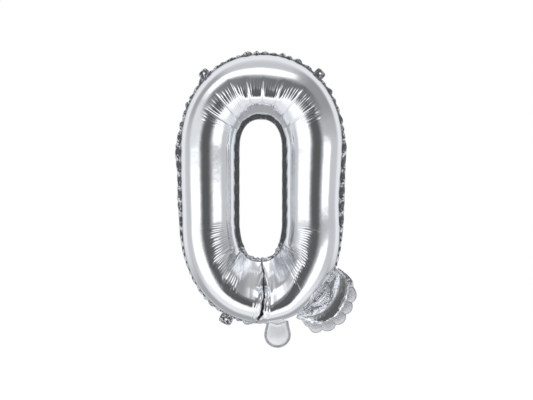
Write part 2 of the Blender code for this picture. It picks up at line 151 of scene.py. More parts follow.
def lit_room():
    """World of soft boxes; the camera itself sees plain white behind the balloon."""
    world = bpy.data.worlds.new("studio")
    bpy.context.scene.world = world
    world.use_nodes = True
    tree = world.node_tree
    way = new_node(tree, "ShaderNodeSeparateXYZ")
    tree.links.new(new_node(tree, "ShaderNodeTexCoord").outputs["Generated"], way.inputs[0])
    across, ahead, up = way.outputs
    from_axis = sum_of(tree, "DEGREES", sum_of(tree, "ARCCOSINE", sum_of(tree, "MULTIPLY", ahead, -1.0)))
    bearing = sum_of(tree, "DEGREES", sum_of(tree, "ARCTAN2", across, up))
    ring = new_node(tree, "ShaderNodeValToRGB")
    tree.links.new(sum_of(tree, "DIVIDE", from_axis, 180.0), ring.inputs[0])
    steps = ring.color_ramp.elements
    while len(steps) < len(ROOM_RINGS):
        steps.new(0.5)
    for step, (angle, light) in zip(steps, ROOM_RINGS):
        step.position = angle / 180
        step.color = (light, light, light, 1)
    light = ring.outputs["Color"]
    elevation = sum_of(tree, "DEGREES", sum_of(tree, "ARCSINE", up))
    for panel in ROOM_PANELS:
        light = with_panel(tree, light, bearing, from_axis, elevation, panel)
    seen = new_node(tree, "ShaderNodeLightPath").outputs["Is Camera Ray"]
    sky = tree.nodes["Background"]
    sky.inputs["Color"].default_value = ROOM_TINT
    tree.links.new(light, sky.inputs["Strength"])
    white = new_node(tree, "ShaderNodeBackground")
    mixed = new_node(tree, "ShaderNodeMixShader")
    white.inputs["Color"].default_value = WHITE
    tree.links.new(seen, mixed.inputs[0])
    tree.links.new(sky.outputs[0], mixed.inputs[1])
    tree.links.new(white.outputs[0], mixed.inputs[2])
    tree.links.new(mixed.outputs[0], tree.nodes["World Output"].inputs["Surface"])


def lay_floor():
    """Plain white floor, lit from below like a light table."""
    level = FLOOR_LEVEL * MM
    bpy.ops.mesh.primitive_plane_add(size=2 * FLOOR_HALF_WIDTH * MM, location=(0, 0, level))
    floor = bpy.context.object
    floor.name = "studio_floor"
    paint = bpy.data.materials.new("floor_white")
    paint.use_nodes = True
    shader = paint.node_tree.nodes["Principled BSDF"]
    shader.inputs["Base Color"].default_value = FLOOR_PAINT
    shader.inputs["Emission Color"].default_value = WHITE
    shader.inputs["Emission Strength"].default_value = 1.0
    floor.data.materials.append(paint)
    floor.visible_glossy = False


set_camera()
lit_room()
lay_floor()
bpy.context.scene.view_settings.view_transform = "Standard"

# Ring films: the two metallised films that make the letter's ring, 0.05 mm of polyester each,
# welded flat along their edges and blown up to a round tube. Round the hole the film is too long
# for its way, so it gathers into sharp main creases and fine pleats that die out at the crest.
HIGH_CENTRE = -91.9
LOW_CENTRE = -175.9
OUTER_HALF_WIDTH = 97.5
OUTER_RISE = 114.6
OUTER_DROP = 122.4
OUTER_ROUNDNESS = 2.12
INNER_HALF_WIDTH = 30.9
INNER_RISE = 42.0
INNER_DROP = 50.4
INNER_ROUNDNESS = 2.3
INNER_SHIFT = -1.5
DEPTH_RATIO = 0.94

# Where the crest lies: turn, power that moves it from the middle (over 1 towards the outer seam)
CREST_SKEW = (
    (0, 1.6), (15, 1.38), (25, 1.36), (35, 1.33), (45, 1.28), (55, 1.20), (70, 1.13), (90, 1.11),
    (105, 1.15), (120, 1.16), (135, 1.07), (150, 1.02), (165, 0.86), (180, 0.80), (195, 0.81),
    (210, 1.00), (225, 1.17), (245, 1.18), (270, 1.11), (290, 1.12), (305, 1.14), (318, 1.22),
    (330, 1.42), (345, 1.80), (360, 2.0),
)
FILM_RIM = 0.15
DIVIDER_X = -1.2
DIVIDER_HALF_GAP = 0.6
END_PARALLEL = 15.0
INNER_SPREAD = 0.75
END_ROUNDING = 17.0
END_SQUARENESS = 4.0
FOOT_SQUARENESS = 9.0
LEG_STEPS = 80
RING_STEPS = 1560
RING_ROWS = 62


def smooth(share):
    """An ease from 0 to 1."""
    share = np.clip(share, 0.0, 1.0)
    return share * share * (3 - 2 * share)


def window(value, start, end, fade_in, fade_out=None):
    """1 between start and end, eased to 0 outside over the fades."""
    rise = smooth((value - start) / fade_in + 0.5)
    return rise * smooth((end - value) / (fade_out or fade_in) + 0.5)


def signed_power(value, power):
    """A power that keeps the sign."""
    return np.copysign(np.abs(value) ** power, value)


# The legs pull in a little below the middle: height, span, how far to the right
LEFT_LEAN = (-178.0, 36.0, 1.6)
RIGHT_LEAN = (-160.0, 55.0, -4.6)


def lean(x, z):
    """How far the outer seam is pulled in at a place."""
    total = 0.0
    for (height, span, shift), side in ((LEFT_LEAN, x < 0), (RIGHT_LEAN, x > 0)):
        total = total + np.where(side, shift, 0.0) * np.exp(-(((z - height) / span) ** 2))
    return total * smooth(np.abs(x) / 60 - 0.3)


def seam_point(turn, outer=True, centre=None):
    """Points (x, z) of the ring's outer or inner seam."""
    across = np.sin(np.radians(turn))
    along = np.cos(np.radians(turn))
    low = along > 1e-9
    if centre is None:
        centre = np.where(low, LOW_CENTRE, HIGH_CENTRE)
    if outer:
        width, shift, power = OUTER_HALF_WIDTH, 0.0, 2 / OUTER_ROUNDNESS
        rise = np.where(low, OUTER_DROP, OUTER_RISE)
    else:
        width, shift, power = INNER_HALF_WIDTH, INNER_SHIFT, 2 / INNER_ROUNDNESS
        rise = np.where(low, INNER_DROP, INNER_RISE)
    x = shift - width * signed_power(across, power)
    z = centre - rise * signed_power(along, power)
    if outer:
        x = x + lean(x, z)
    return np.stack(np.broadcast_arrays(x, z), axis=-1)


def turn_at(x, outer=True):
    """The turn in the lower cap at which a seam passes x."""
    if outer:
        share, power = x / OUTER_HALF_WIDTH, OUTER_ROUNDNESS / 2
    else:
        share, power = (x - INNER_SHIFT) / INNER_HALF_WIDTH, INNER_ROUNDNESS / 2
    return -np.degrees(np.arcsin(signed_power(share, power)))


def lengths_along(points):
    """Length run so far along a line of points."""
    steps = np.linalg.norm(np.diff(points, axis=0), axis=-1)
    return np.concatenate(([0.0], np.cumsum(steps)))


def lattice(x, y, seed):
    """Smooth noise from 0 to 1 with a grain of one unit."""
    table = np.random.default_rng(seed).random((64, 64))
    column = np.floor(x).astype(int)
    row = np.floor(y).astype(int)
    fx = smooth(x - column)
    fy = smooth(y - row)
    near = table[column % 64, row % 64] * (1 - fx) + table[(column + 1) % 64, row % 64] * fx
    far = table[column % 64, (row + 1) % 64] * (1 - fx) + table[(column + 1) % 64, (row + 1) % 64] * fx
    return near * (1 - fy) + far * fy


def crumples(x, y, seed):
    """Sharp ridges of crushed film, from -1 to 1, over three sizes."""
    total = 0.0
    for octave, share in enumerate((0.55, 0.3, 0.15)):
        scale = 1.9 ** octave
        turned = (x * 0.8 + y * 0.6) * scale, (y * 0.8 - x * 0.6) * scale
        total = total + share * (1 - 2 * np.abs(2 * lattice(*turned, seed + octave) - 1))
    return total


def cells(x, y, seed):
    """Small bowls with sharp ridges between them, 0 in each bowl's middle, about 1 on the ridges."""
    jitter = np.random.default_rng(seed).random((32, 32, 2))
    column = np.floor(x).astype(int)
    row = np.floor(y).astype(int)
    nearest = np.full(np.broadcast(x, y).shape, 9.0)
    for i in (-1, 0, 1):
        for j in (-1, 0, 1):
            spot = jitter[(column + i) % 32, (row + j) % 32]
            gap = (column + i + spot[..., 0] - x) ** 2 + (row + j + spot[..., 1] - y) ** 2
            nearest = np.minimum(nearest, gap)
    return np.minimum(nearest * 1.6, 1.3)


def ring_sections():
    """Sections all round the tube: outer ends, inner ends, turns, lengths from the tube's start."""
    near = np.linspace(0, END_PARALLEL, 40)
    parts = {}
    for hand in (-1, 1):
        outer_turn = turn_at(DIVIDER_X + hand * (DIVIDER_HALF_GAP + near)) % 360
        inner_turn = turn_at(DIVIDER_X + hand * (DIVIDER_HALF_GAP + near * INNER_SPREAD), False) % 360
        leg = 90.0 if hand < 0 else 270.0
        sweep = np.linspace(outer_turn[-1], leg, 300)[1:-1]
        lead = (inner_turn[-1] - outer_turn[-1]) / (leg - outer_turn[-1])
        outer_turn = np.concatenate((outer_turn, sweep))
        inner_turn = np.concatenate((inner_turn, sweep + lead * (leg - sweep)))
        parts[hand] = (seam_point(outer_turn), seam_point(inner_turn, False), outer_turn)
    up = np.linspace(LOW_CENTRE, HIGH_CENTRE, LEG_STEPS + 1)[:-1]
    down = up[::-1]
    cap = np.linspace(90, 270, 720)
    runs = [
        parts[-1],
        (seam_point(90.0, True, up), seam_point(90.0, False, up), np.full(LEG_STEPS, 90.0)),
        (seam_point(cap), seam_point(cap, False), cap),
        (seam_point(270.0, True, down), seam_point(270.0, False, down), np.full(LEG_STEPS, 270.0)),
        tuple(part[::-1] for part in parts[1]),
    ]
    outer, inner, turns = (np.concatenate([run[k] for run in runs]) for k in range(3))
    length = lengths_along((outer + inner) / 2)
    fineness = 1 + 3.2 * window(turns, 106, 254, 8) + 2.4 * window(turns, 22, 88, 6)
    fineness += 2.4 * window(turns, 272, 338, 6)
    fineness += 3.0 * (smooth(1.4 - length / 16) + smooth(1.4 - (length[-1] - length) / 16))
    steps = np.diff(length) * (fineness[1:] + fineness[:-1]) / 2
    count = np.concatenate(([0.0], np.cumsum(steps)))
    at = np.interp(np.linspace(0, count[-1], RING_STEPS + 1), count, np.arange(len(count)))
    index = np.arange(len(count))
    outer = np.stack([np.interp(at, index, outer[:, k]) for k in (0, 1)], axis=1)
    inner = np.stack([np.interp(at, index, inner[:, k]) for k in (0, 1)], axis=1)
    return outer, inner, np.interp(at, index, turns), np.interp(at, index, length)


def tube_rows(count):
    """Angles across the half tube, closer together on the half that is pleated."""
    share = np.linspace(0, 1, count + 1)
    return math.pi * (share + 0.09 * np.sin(math.pi * share) ** 2)


def raised(points, heights, facing):
    """Points moved out along the surface's own normal."""
    along = np.gradient(points, axis=0)
    across = np.gradient(points, axis=1)
    normal = np.cross(along, across)
    normal /= np.maximum(np.linalg.norm(normal, axis=2, keepdims=True), 1e-9)
    if np.mean(normal @ np.array(facing)) < 0:
        normal = -normal
    return points + normal * heights[..., None]


def laid_film(name, points, facing, material):
    """A grid of faces laid onto rows of points, with a UV map in centimetres of film."""
    bpy.ops.object.select_all(action="DESELECT")
    count_u, count_v = points.shape[0] - 1, points.shape[1] - 1
    bpy.ops.mesh.primitive_grid_add(x_subdivisions=count_u, y_subdivisions=count_v, size=1.0)
    sheet = bpy.context.object
    sheet.name = sheet.data.name = name
    flat = np.empty(len(sheet.data.vertices) * 3)
    sheet.data.vertices.foreach_get("co", flat)
    flat = flat.reshape(-1, 3)
    u = np.rint((flat[:, 0] + 0.5) * count_u).astype(int)
    v = np.rint((flat[:, 1] + 0.5) * count_v).astype(int)
    sheet.data.vertices.foreach_set("co", (points[u, v] * MM).ravel())
    run = np.linalg.norm(np.diff(points, axis=0), axis=2).mean(axis=1)
    rise = np.linalg.norm(np.diff(points, axis=1), axis=2).mean(axis=0)
    run = np.concatenate(([0.0], np.cumsum(run))) / 10
    rise = np.concatenate(([0.0], np.cumsum(rise))) / 10
    corners = np.empty(len(sheet.data.loops), dtype=np.int32)
    sheet.data.loops.foreach_get("vertex_index", corners)
    places = np.stack((run[u], rise[v]), axis=1)[corners]
    sheet.data.uv_layers.active.data.foreach_set("uv", places.ravel())
    sheet.data.update()
    normal = np.cross(np.gradient(points, axis=0), np.gradient(points, axis=1))
    if np.sum(normal @ np.array(facing)) < 0:
        bpy.ops.object.mode_set(mode="EDIT")
        bpy.ops.mesh.select_all(action="SELECT")
        bpy.ops.mesh.flip_normals()
        bpy.ops.object.mode_set(mode="OBJECT")
    bpy.ops.object.shade_smooth()
    sheet.data.materials.append(material)
    return sheet


def foil(name, colour, roughness, grain, dents):
    """Vacuum-metallised polyester: a mirror with a faint grain, soft dents and rubbed patches."""
    material = bpy.data.materials.new(name)
    material.use_nodes = True
    tree = material.node_tree
    shader = tree.nodes["Principled BSDF"]
    shader.inputs["Metallic"].default_value = 1.0
    film = new_node(tree, "ShaderNodeUVMap").outputs[0]
    fine = new_node(tree, "ShaderNodeTexNoise")
    fine.inputs["Scale"].default_value = 14.0
    fine.inputs["Detail"].default_value = 3.0
    broad = new_node(tree, "ShaderNodeTexNoise")
    broad.inputs["Scale"].default_value = 0.8
    broad.inputs["Detail"].default_value = 2.0
    for texture in (fine, broad):
        tree.links.new(film, texture.inputs["Vector"])
    rubbed = new_node(tree, "ShaderNodeMapRange")
    tree.links.new(broad.outputs[0], rubbed.inputs["Value"])
    rubbed.inputs["To Min"].default_value = roughness * 0.6
    rubbed.inputs["To Max"].default_value = roughness * 1.4
    tree.links.new(rubbed.outputs[0], shader.inputs["Roughness"])
    tint = new_node(tree, "ShaderNodeMix", data_type="RGBA")
    tree.links.new(fine.outputs[0], tint.inputs[0])
    tint.inputs[6].default_value = (*(c * 0.96 for c in colour), 1)
    tint.inputs[7].default_value = (*(min(1.0, c * 1.04) for c in colour), 1)
    tree.links.new(tint.outputs[2], shader.inputs["Base Color"])
    low = new_node(tree, "ShaderNodeBump")
    low.inputs["Strength"].default_value = dents
    low.inputs["Distance"].default_value = 0.001
    tree.links.new(broad.outputs[0], low.inputs["Height"])
    high = new_node(tree, "ShaderNodeBump")
    high.inputs["Strength"].default_value = grain
    high.inputs["Distance"].default_value = 0.0001
    tree.links.new(fine.outputs[0], high.inputs["Height"])
    tree.links.new(low.outputs[0], high.inputs["Normal"])
    tree.links.new(high.outputs[0], shader.inputs["Normal"])
    return material


# Main creases round the hole: turn, and where they die out (share of the way over the section)
TOP_CREASES = (
    (120, 0.40), (135, 0.38), (151, 0.36), (166, 0.38), (181.5, 0.38), (200, 0.38), (220, 0.38),
    (238, 0.43),
)
LOW_CREASES = ((39, 0.47), (56, 0.47), (309, 0.52), (324, 0.55))
CREASE_DEPTH = 0.95
CREASE_WIDTH = 2.0
PLEAT_PITCH = 3.3
PLEAT_GROOVE = 0.55
PLEAT_HEIGHT = 0.36
PLEAT_START = 0.395
PLEAT_START_SPREAD = 0.06
FOLD_LINE = 0.775
KEY_FOLD = 0.63
KEY_RIDGE = 2.0

# Turns between which the film is pleated, and over how many more that fades
TOP_PLEATS = (112, 248, 14)
LEFT_PLEATS = (20, 84, 10)
RIGHT_PLEATS = (278, 326, 12)

# The smoother panels above the hole, which a ridge runs across
KEY_PANELS = (157, 205, 10)


def pleat_heights(turns, length, share):
    """Fine pleats across the ring's run, each with its own width, height and reach."""
    rng = np.random.default_rng(5)
    count = int(length[-1] / PLEAT_PITCH * 1.5)
    valleys = np.cumsum(PLEAT_PITCH * (0.7 + 0.6 * rng.random(count)))
    height = 0.5 + 0.6 * rng.random(count)
    reach = PLEAT_START + PLEAT_START_SPREAD * rng.random(count) ** 1.5
    index = np.clip(np.searchsorted(valleys, length) - 1, 0, count - 2)
    pitch = valleys[index + 1] - valleys[index]
    phase = (length - valleys[index]) / pitch
    apart = np.minimum(phase, 1 - phase).clip(0) * pitch
    rounding = 0.35 * np.sin(math.pi * np.clip(phase, 0, 1))
    bulge = (rounding + 1 - np.exp(-apart / PLEAT_GROOVE)) * height[index]
    top = window(turns, *TOP_PLEATS)
    low = np.maximum(window(turns, *LEFT_PLEATS), window(turns, *RIGHT_PLEATS))
    keys = window(turns, *KEY_PANELS)[:, None]
    reach = (reach[index] + 0.10 * low)[:, None]
    cover = smooth((share - reach) / 0.07) * (1 - (0.35 + 0.4 * keys) * smooth((share - 0.62) / 0.05))
    cover = cover * (1 - 0.75 * keys * smooth((share - 0.50) / 0.04))
    cover = cover * (1 - 0.75 * low[:, None] * smooth((share - 0.66) / 0.06))
    cover = cover * (1 - 0.85 * smooth((share - FOLD_LINE) / 0.03))
    return PLEAT_HEIGHT * (bulge * np.maximum(0.85 * top, 1.25 * low))[:, None] * cover


def crease_heights(turns, length, share):
    """Main creases: sharp valleys between panels that bulge."""
    heights = 0.0
    order = np.argsort(turns, kind="stable")
    for creases in (TOP_CREASES, LOW_CREASES):
        for turn, reach in creases:
            place = np.interp(turn, turns[order], length[order])
            away = np.abs(length - place)[:, None]
            cover = smooth((share - reach) / 0.10) * (1 - 0.7 * smooth((share - 0.80) / 0.12))
            heights = heights - CREASE_DEPTH * np.exp(-away / CREASE_WIDTH) * cover
    return heights


# The valley at the divider isn't straight: height, how far to the right
VALLEY = (
    (-304.0, -6.0), (-297.0, -5.0), (-292.5, -3.0), (-287.0, 0.8), (-281.0, 1.4), (-274.0, 2.5),
    (-266.0, 4.3), (-255.0, 3.7), (-238.0, 3.5), (-231.0, 1.3), (-225.0, 0.7), (-200.0, 0.0),
)


def valley_shift(z):
    """How far the valley between the ends lies beside the straight weld."""
    return np.interp(z, *zip(*VALLEY))


# Section inside the crest at the foot of the letter, where the film runs straight down to the
# hole like a roof: slopes from the crest (0) to the inner seam (1), summed to levels from 1 to 0
ROOF_AT = np.linspace(0, 1, 200)
ROOF_SLOPE = 0.74 * smooth(ROOF_AT / 0.13) + 0.46 * smooth((ROOF_AT - 0.27) / 0.14)
ROOF_LEVEL = 1 - np.cumsum(ROOF_SLOPE) / np.sum(ROOF_SLOPE)

# Turns inside which the section is like a roof, each with its fade
ROOF_LEFT = (58, 24)
ROOF_RIGHT = (296, 22)

# How wide the crest's flat top is at a turn, as a share of the way to the inner seam
FLAT_TOP = (
    (0, -0.12), (9, -0.10), (18, -0.02), (28, 0.06), (50, 0.06), (64, 0.0), (288, 0.0), (306, 0.09),
    (326, 0.13), (338, 0.06), (349, -0.06), (360, -0.12),
)


# The tube's ends are squarer from this height down, where the letter's foot begins
FOOT_HEIGHT = -254
FOOT_FADE = 14

# Straight parts of the legs, and the fine folds along them: share of the section, width, depth
LEFT_STRAIGHT = (84, 96, 6)
RIGHT_STRAIGHT = (264, 276, 6)
LEG_FOLDS = ((0.79, 0.014, 0.30), (0.865, 0.012, 0.18))

# Small dimples along the line where the pleats end, and long soft waves in the film
DIMPLE_PITCH = 2.6
DIMPLE_HEIGHT = 0.10
WAVE_LENGTH = 26
WAVE_HEIGHT = 0.12

# Crushed film beside the divider, and two small leaves at the divider's top
CRUSH_HEIGHT = -255
CRUSH_REACH = (0.8, 8.5, 1.6, 3.0)
LEAF_TOP = -238
LEAF_FOOT = -256
LEAF_WIDTH = 5.2
LEAF_HEIGHT = 1.7

FILM_WIDTH = 98.0
VALLEY_REACH = 9.0


def tube_levels(turns, way, skew, angles, depth):
    """How far the film stands off the seam plane: a round tube, like a roof at the foot."""
    roofed = smooth((ROOF_LEFT[0] - turns) / ROOF_LEFT[1])
    roofed += smooth((turns - ROOF_RIGHT[0]) / ROOF_RIGHT[1])
    crest = 0.5 ** skew[:, None]
    inward = (way - crest) / (1 - crest)
    flat_top = np.interp(turns, *zip(*FLAT_TOP))[:, None]
    fallen = np.interp((inward - flat_top) / (1 - flat_top), ROOF_AT, ROOF_LEVEL)
    roof = fallen / np.interp(-flat_top / (1 - flat_top), ROOF_AT, ROOF_LEVEL)
    level = FILM_RIM + depth * np.sin(angles)
    return level + roofed[:, None] * depth * (roof - np.sin(angles)) * (inward > 0)


def panel_heights(turns, u, v, share):
    """A ridge across the smoother panels, folds down the legs, dimples and soft waves."""
    keys = window(turns, *KEY_PANELS)[:, None]
    leg = np.maximum(window(turns, *LEFT_STRAIGHT), window(turns, *RIGHT_STRAIGHT))[:, None]
    rising = (share - 0.45) / (KEY_FOLD - 0.45)
    falling = (0.76 - share) / (0.76 - KEY_FOLD)
    heights = KEY_RIDGE * keys * np.clip(np.where(share < KEY_FOLD, rising, falling), 0, 1)
    for place, width, fold_depth in LEG_FOLDS:
        heights = heights - fold_depth * leg * np.exp(-((share - place) / width) ** 2)
    dimples = np.sin(2 * math.pi * u / DIMPLE_PITCH) * np.exp(-((share - FOLD_LINE) / 0.016) ** 2)
    heights = heights + DIMPLE_HEIGHT * dimples * (1 - leg)
    return heights + WAVE_HEIGHT * (lattice(u / WAVE_LENGTH, v / WAVE_LENGTH, 31) - 0.5)


def end_heights(from_end, z, u, v):
    """Crushed film beside the divider, and the leaf at its top."""
    crush = window(from_end, *CRUSH_REACH) * smooth((CRUSH_HEIGHT - z) / 6)
    heights = crush * (0.7 * crumples(u / 3.4, v / 4.0, 47) + 1.1 * cells(u / 2.6, v / 4.4, 48))
    width = LEAF_WIDTH * np.clip((LEAF_TOP - z) / 17, 0, 1)
    leaf = (z > LEAF_FOOT) * smooth((width - np.abs(from_end - 1.2)) / 0.8)
    return heights + LEAF_HEIGHT * leaf * np.clip((z - LEAF_FOOT) / 18, 0, 1) * smooth(from_end / 1.4)


def ring_film(side, material):
    """Front or back film of the ring."""
    outer, inner, turns, length = ring_sections()
    angles = tube_rows(RING_ROWS)
    share = (angles / math.pi)[None, :]
    middle_way = (1 - np.cos(angles)) / 2
    skew = np.interp(turns, *zip(*CREST_SKEW))
    skew = np.convolve(np.pad(skew, 30, mode="edge"), np.ones(61) / 61, mode="valid")
    way = (middle_way[None, :] ** skew[:, None])[..., None]
    flat = outer[:, None, :] * (1 - way) + inner[:, None, :] * way
    from_end = np.minimum(length, length[-1] - length)
    ease = np.clip(from_end / END_ROUNDING, 0, 1)
    foot = smooth((FOOT_HEIGHT - flat[..., 1]) / FOOT_FADE)
    square = END_SQUARENESS + (FOOT_SQUARENESS - END_SQUARENESS) * foot
    swell = (1 - (1 - ease[:, None]) ** square) ** (1 / square)
    depth = np.linalg.norm(outer - inner, axis=1)[:, None] / 2 * DEPTH_RATIO * swell
    level = tube_levels(turns, way[..., 0], skew, angles, depth)
    points = np.stack((flat[..., 0], side * level, flat[..., 1]), axis=2)
    u = length[:, None] + 0 * share
    v = share * FILM_WIDTH + 0 * u
    heights = pleat_heights(turns, length, share) + crease_heights(turns, length, share)
    heights = heights + panel_heights(turns, u, v, share)
    heights = heights + end_heights(from_end[:, None], flat[..., 1], u, v)
    edge = np.minimum(1, np.minimum(share, 1 - share) / 0.02)
    points = raised(points, heights * edge, (0, side, 0))
    beside = np.exp(-((from_end / VALLEY_REACH) ** 2))[:, None]
    points[:, :, 0] += valley_shift(points[:, :, 2]) * beside
    points[:, :, 1] = side * np.maximum(side * points[:, :, 1], FILM_RIM)
    name = "ring_front_sheet" if side < 0 else "ring_back_sheet"
    return laid_film(name, points, (0, side, 0), material)


def carried(piece, slot, *nodes):
    """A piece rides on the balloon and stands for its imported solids."""
    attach(piece, "root")
    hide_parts(*nodes)
    return piece


silver = foil("silver_film", (0.83, 0.845, 0.87), 0.10, 0.25, 0.12)
carried(ring_film(-1, silver), "silver_film", "ring_front_film")
carried(ring_film(1, silver), "silver_film", "ring_back_film")


# Divider weld: a flat weld across the tube under the hole, about 5 mm wide and a little crumpled,
# that closes the two ends of the C shaped tube. It lies at the bottom of the valley between them.
DIVIDER_WELD_HALF = 2.4
WELD_THICKNESS = 0.22


def thickened(sheet, thickness):
    """Give a sheet its wall, half to each side."""
    wall = sheet.modifiers.new("wall", "SOLIDIFY")
    wall.thickness = thickness * MM
    wall.offset = 0.0
    bpy.ops.object.select_all(action="DESELECT")
    sheet.select_set(True)
    bpy.context.view_layer.objects.active = sheet
    bpy.ops.object.modifier_apply(modifier=wall.name)
    return sheet


def weld_doubles(sheet, reach):
    """Merge a sheet's vertices that lie on each other."""
    bpy.ops.object.select_all(action="DESELECT")
    sheet.select_set(True)
    bpy.context.view_layer.objects.active = sheet
    bpy.ops.object.mode_set(mode="EDIT")
    bpy.ops.mesh.select_all(action="SELECT")
    bpy.ops.mesh.remove_doubles(threshold=reach * MM)
    bpy.ops.object.mode_set(mode="OBJECT")


def joined(parts):
    """Several sheets made one piece."""
    bpy.ops.object.select_all(action="DESELECT")
    for part in parts:
        part.select_set(True)
    bpy.context.view_layer.objects.active = parts[0]
    bpy.ops.object.join()
    return parts[0]


def divider_strip(material):
    """The weld, from the hole's foot to the letter's foot."""
    top = seam_point(turn_at(DIVIDER_X, False), False)[1]
    foot = seam_point(turn_at(DIVIDER_X))[1]
    down = np.linspace(0, 1, 90)[:, None]
    across = np.linspace(-1, 1, 13)[None, :]
    z = top + (foot - top) * down + 0 * across
    x = DIVIDER_X + 0.5 * valley_shift(z) + across * DIVIDER_WELD_HALF
    x = x + 0.35 * crumples(down * 22, across * 1.5, 5)
    y = -0.25 + 0.35 * crumples(down * 18, across * 2, 9)
    strip = laid_film("divider_strip", np.stack((x, y, z), axis=2), (0, -1, 0), material)
    return thickened(strip, WELD_THICKNESS)


weld = foil("silver_weld", (0.50, 0.515, 0.545), 0.17, 0.5, 0.3)
carried(divider_strip(weld), "silver_weld", "divider_weld")

# Outer margin: the welded edge outside the ring, a few millimetres wide. The tube pulls its seam in
# as it fills, so the edge has film to spare and puckers into lumps about 11 mm apart.
UNDER_RIM = 0.8
MARGIN_BASE = 2.9
MARGIN_SCALLOP = 2.3
SCALLOP_PITCH = 11.5
LUMP_COUNT = 90
MARGIN_LIFT = 0.9
MARGIN_END_TURN = 295.6
MARGIN_STEP = 0.55
MARGIN_ROWS = 9

# How strongly the margin puckers: turn, share
MARGIN_LIVELY = (
    (0, 1.0), (25, 0.9), (45, 0.5), (70, 0.15), (89, 0.2), (92, 0.3), (110, 1.0), (250, 1.0), (268, 0.3),
    (271, 0.1), (296, 0.3),
)

# Where the margin is wider or narrower: side, height, span, extra width
MARGIN_SWELLS = (
    (-1, -94.0, 20.0, 3.6),
    (-1, -150.0, 34.0, 1.8),
    (-1, -240.0, 30.0, -1.4),
    (1, -92.0, 14.0, 1.2),
    (1, -146.0, 44.0, 3.2),
    (1, -212.0, 24.0, -1.4),
)


def seam_run(turn_from, turn_to, step, outer=True):
    """Even points along a seam from turn to turn, the way out of the ring there, lengths, turns."""
    up = np.linspace(LOW_CENTRE, HIGH_CENTRE, LEG_STEPS + 1)[:-1]
    foot_left = np.linspace(0, 89.9, 300)
    cap = np.linspace(90, 270, 600)
    foot_right = np.linspace(270.1, 360, 300)
    legs = np.full(LEG_STEPS, 90.0), np.full(LEG_STEPS, 270.0)
    turns = np.concatenate((foot_left, legs[0], cap, legs[1], foot_right))
    points = np.concatenate((
        seam_point(foot_left, outer),
        seam_point(90.0, outer, up),
        seam_point(cap, outer),
        seam_point(270.0, outer, up[::-1]),
        seam_point(foot_right, outer),
    ))
    keep = (turns >= turn_from) & (turns <= turn_to)
    points, turns = points[keep], turns[keep]
    length = lengths_along(points)
    at = np.linspace(0, length[-1], int(length[-1] / step) + 1)
    even = np.stack([np.interp(at, length, points[:, k]) for k in (0, 1)], axis=1)
    way = np.gradient(even, axis=0)
    way /= np.linalg.norm(way, axis=1)[:, None]
    out = np.stack((-way[:, 1], way[:, 0]), axis=1)
    return even, out, at, np.interp(at, length, turns)


def swelled(points, swells):
    """The extra width of a margin at its places, from a table of swells."""
    extra = np.zeros(len(points))
    for side, height, span, amount in swells:
        extra += amount * (points[:, 0] * side > 0) * np.exp(-(((points[:, 1] - height) / span) ** 2))
    return extra


def puckered_strip(name, run, widths, rows, lift, crush, seed, material, closed=False):
    """A strip along a seam, from under the film's rim to its free edge, thrown into puckers."""
    points, out, length, _ = run
    share = np.linspace(0, 1, rows)[None, :]
    reach = -UNDER_RIM + (widths[:, None] + UNDER_RIM) * share
    free = np.clip(reach / 2.0, 0, 1)
    along = length[:, None]
    rng = np.random.default_rng(seed)
    drift = np.cumsum(rng.normal(0, 0.05, len(length)))
    drift -= np.linspace(drift[0], drift[-1], len(length))
    wave = np.sin(2 * math.pi * along / (SCALLOP_PITCH * 1.5) + drift[:, None])
    dented = 0.6 * crumples(along / 3.4, reach / 3.0, seed)
    dented = dented + 0.9 * cells(along / 3.2, reach / 3.0, seed + 1) - 0.4
    y = lift * wave * free * share + crush * free * dented
    flat = points[:, None, :] + out[:, None, :] * reach[..., None]
    grid = np.stack((flat[..., 0], y, flat[..., 1]), axis=2)
    strip = laid_film(name, grid, (0, -1, 0), material)
    if closed:
        weld_doubles(strip, 0.02)
    return thickened(strip, WELD_THICKNESS)


def outer_edge(material):
    """The margin outside the ring."""
    run = seam_run(0.0, MARGIN_END_TURN, MARGIN_STEP)
    points, _, length, turns = run
    rng = np.random.default_rng(12)
    lumps = np.cumsum(SCALLOP_PITCH * (0.6 + 0.7 * rng.random(LUMP_COUNT)))
    index = np.clip(np.searchsorted(lumps, length), 1, LUMP_COUNT - 1)
    phase = (length - lumps[index - 1]) / (lumps[index] - lumps[index - 1])
    height = 0.5 + rng.random(LUMP_COUNT)[index]
    lively = np.interp(turns, *zip(*MARGIN_LIVELY))
    lumps_out = np.sin(math.pi * np.clip(phase, 0, 1) ** 1.4) * height - 0.5
    widths = MARGIN_BASE + MARGIN_SCALLOP * lively * lumps_out
    widths = np.maximum(widths + swelled(points, MARGIN_SWELLS), 0.9 + 1.1 * lively)
    crush = (0.3 + 0.6 * lively)[:, None]
    return puckered_strip("outer_edge", run, widths, MARGIN_ROWS, MARGIN_LIFT, crush, 21, material)


carried(outer_edge(weld), "silver_weld", "outer_margin")

# Inner margin: the welded edge round the hole, 5 to 6 mm wide, nearly flat beside the legs, and
# narrower and crumpled at the foot of the hole, where the divider weld pulls on it.
HOLE_MARGIN = 5.6
HOLE_MARGIN_FOOT = 4.4
HOLE_LIFT = 0.35
HOLE_FOOT_RISE = 22
HOLE_STEP = 0.7


def hole_edge(material):
    """The margin round the hole."""
    run = seam_run(0.0, 360.0, HOLE_STEP, outer=False)
    points, out, length, turns = run
    foot = smooth((LOW_CENTRE - HOLE_FOOT_RISE - points[:, 1]) / HOLE_FOOT_RISE)
    widths = HOLE_MARGIN + (HOLE_MARGIN_FOOT - HOLE_MARGIN) * foot
    widths = widths + 2.2 * foot * (lattice(length / 4.0, 0 * length, 3) - 0.4)
    crush = 0.15 + 1.6 * foot[:, None]
    run = (points, -out, length, turns)
    return puckered_strip("hole_edge", run, widths, MARGIN_ROWS, HOLE_LIFT, crush, 33, material, closed=True)


